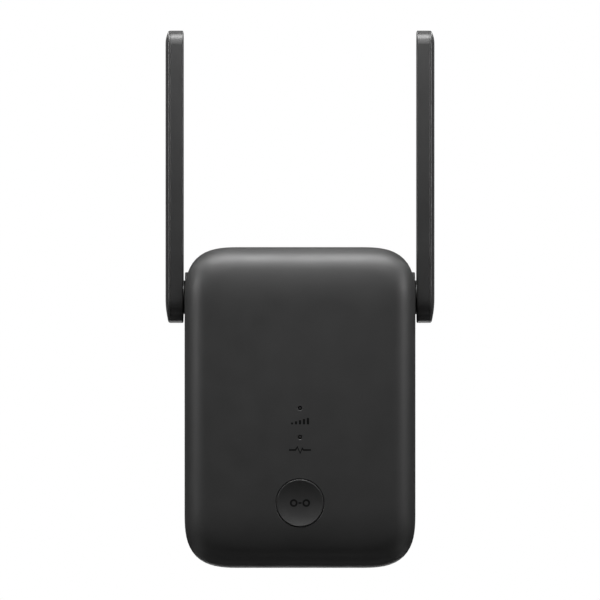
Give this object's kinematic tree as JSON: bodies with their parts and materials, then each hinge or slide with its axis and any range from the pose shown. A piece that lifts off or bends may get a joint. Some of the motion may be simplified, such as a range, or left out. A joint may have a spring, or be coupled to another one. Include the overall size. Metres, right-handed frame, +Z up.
{
  "type": "wifi range extender",
  "caption": "Wall-plug wifi range extender: rounded black housing with a round push button, status lights, a network socket underneath, mains pins behind and folding flat antennas at its sides.",
  "frame": {"origin": "centre of the mains plug's engagement face, midway between the two pins, which is the plane that comes against the wall socket", "axes": "+Y out of the back along the pins, into the wall; +Z up, the way the antennas point when raised; +X to the right for someone who faces the front"},
  "size_m": [0.089, 0.071, 0.1772],
  "materials": {
    "housing_front": "fine satin texture, moulded black ABS",
    "housing_rear": "fine spark-eroded texture, moulded black ABS",
    "antenna_plastic": "fine satin texture, moulded black ABS",
    "button_plastic": "smooth satin black",
    "plug_plastic": "satin black",
    "pin_nickel": "nickel-plated brass, light insertion wear",
    "pin_sleeve": "smooth black insulation",
    "contact_brass": "stamped, unplated",
    "screw_steel": "zinc plated",
    "clear_guide": "clear acrylic, frosted tips",
    "led_package": "white ceramic body with yellow phosphor",
    "switch_plastic": "moulded black",
    "plunger_plastic": "white acetal",
    "shield_steel": "tin plated, pressed",
    "thermal_pad_grey": "soft silicone",
    "spreader_aluminium": "extruded, clear anodised",
    "board_laminate": "green solder mask over glass-epoxy",
    "moulded_black": "moulded black component body",
    "ferrite": "sintered, dark grey",
    "winding_tape": "yellow polyester tape",
    "capacitor_sleeve": "shrink sleeve, aluminium end",
    "fuse_ceramic": "ceramic tube",
    "box_capacitor_yellow": "potted box",
    "bush_acetal": "natural acetal",
    "pivot_nylon": "glass-filled nylon",
    "spring_steel": "oiled spring steel",
    "coax_grey": "fluoropolymer jacket"
  },
  "bodies": {
    "housing": {"front_cover": "housing_front", "rear_cover": "housing_rear", "plug_block": "plug_plastic", "left_plug_pin": "pin_nickel", "right_plug_pin": "pin_nickel", "left_pin_sleeve": "pin_sleeve", "right_pin_sleeve": "pin_sleeve", "left_contact_spring": "contact_brass", "right_contact_spring": "contact_brass", "main_board": "board_laminate", "signal_led": "led_package", "system_led": "led_package", "twin_light_guide": "clear_guide", "radio_shield_can": "shield_steel", "processor_shield_can": "shield_steel", "thermal_pad": "thermal_pad_grey", "heat_spreader": "spreader_aluminium", "wps_switch_body": "switch_plastic", "reset_switch_body": "switch_plastic", "ethernet_jack_shell": "shield_steel", "ethernet_jack_insert": "moulded_black", "line_transformer": "moulded_black", "board_link_header": "moulded_black", "power_board": "board_laminate", "transformer_core": "ferrite", "transformer_winding": "winding_tape", "bulk_capacitor": "capacitor_sleeve", "output_capacitor": "capacitor_sleeve", "mains_fuse": "fuse_ceramic", "bridge_rectifier": "moulded_black", "x_capacitor": "box_capacitor_yellow", "line_choke": "moulded_black", "top_left_case_screw": "screw_steel", "top_right_case_screw": "screw_steel", "bottom_left_case_screw": "screw_steel", "bottom_right_case_screw": "screw_steel", "left_board_screw": "screw_steel", "right_board_screw": "screw_steel", "left_hinge_bush": "bush_acetal", "left_friction_washer": "spring_steel", "left_coax_lead": "coax_grey", "right_hinge_bush": "bush_acetal", "right_friction_washer": "spring_steel", "right_coax_lead": "coax_grey"},
    "wps_button": {"wps_button": "button_plastic"},
    "wps_switch_plunger": {"wps_switch_plunger": "plunger_plastic"},
    "reset_switch_plunger": {"reset_switch_plunger": "plunger_plastic"},
    "left_antenna": {"left_antenna_tray": "antenna_plastic", "left_antenna_cover": "antenna_plastic", "left_antenna_radiator": "board_laminate", "left_antenna_feed": "coax_grey", "left_antenna_pivot": "pivot_nylon", "left_retaining_ring": "spring_steel"},
    "right_antenna": {"right_antenna_tray": "antenna_plastic", "right_antenna_cover": "antenna_plastic", "right_antenna_radiator": "board_laminate", "right_antenna_feed": "coax_grey", "right_antenna_pivot": "pivot_nylon", "right_retaining_ring": "spring_steel"}
  },
  "joints": [
    {"name": "left_antenna_hinge", "type": "hinge", "parent": "housing", "child": "left_antenna", "pos_m": [-0.038, -0.03, 0.0243], "axis": [1, 0, 0], "range_deg": [0, 180]},
    {"name": "right_antenna_hinge", "type": "hinge", "parent": "housing", "child": "right_antenna", "pos_m": [0.038, -0.03, 0.0243], "axis": [1, 0, 0], "range_deg": [0, 180]},
    {"name": "wps_button_press", "type": "slide", "parent": "housing", "child": "wps_button", "axis": [0, 1, 0], "range_m": [0, 0.0004], "stiffness_N_per_m": 2000},
    {"name": "wps_plunger_slide", "type": "slide", "parent": "housing", "child": "wps_switch_plunger", "axis": [0, 1, 0], "range_m": [0, 0.0004]},
    {"name": "reset_plunger_press", "type": "slide", "parent": "housing", "child": "reset_switch_plunger", "axis": [0, 0, 1], "range_m": [0, 0.00025], "stiffness_N_per_m": 2000}
  ],
  "couplings": [
    {"joint": "wps_plunger_slide", "follows": "wps_button_press", "ratio": 1}
  ]
}
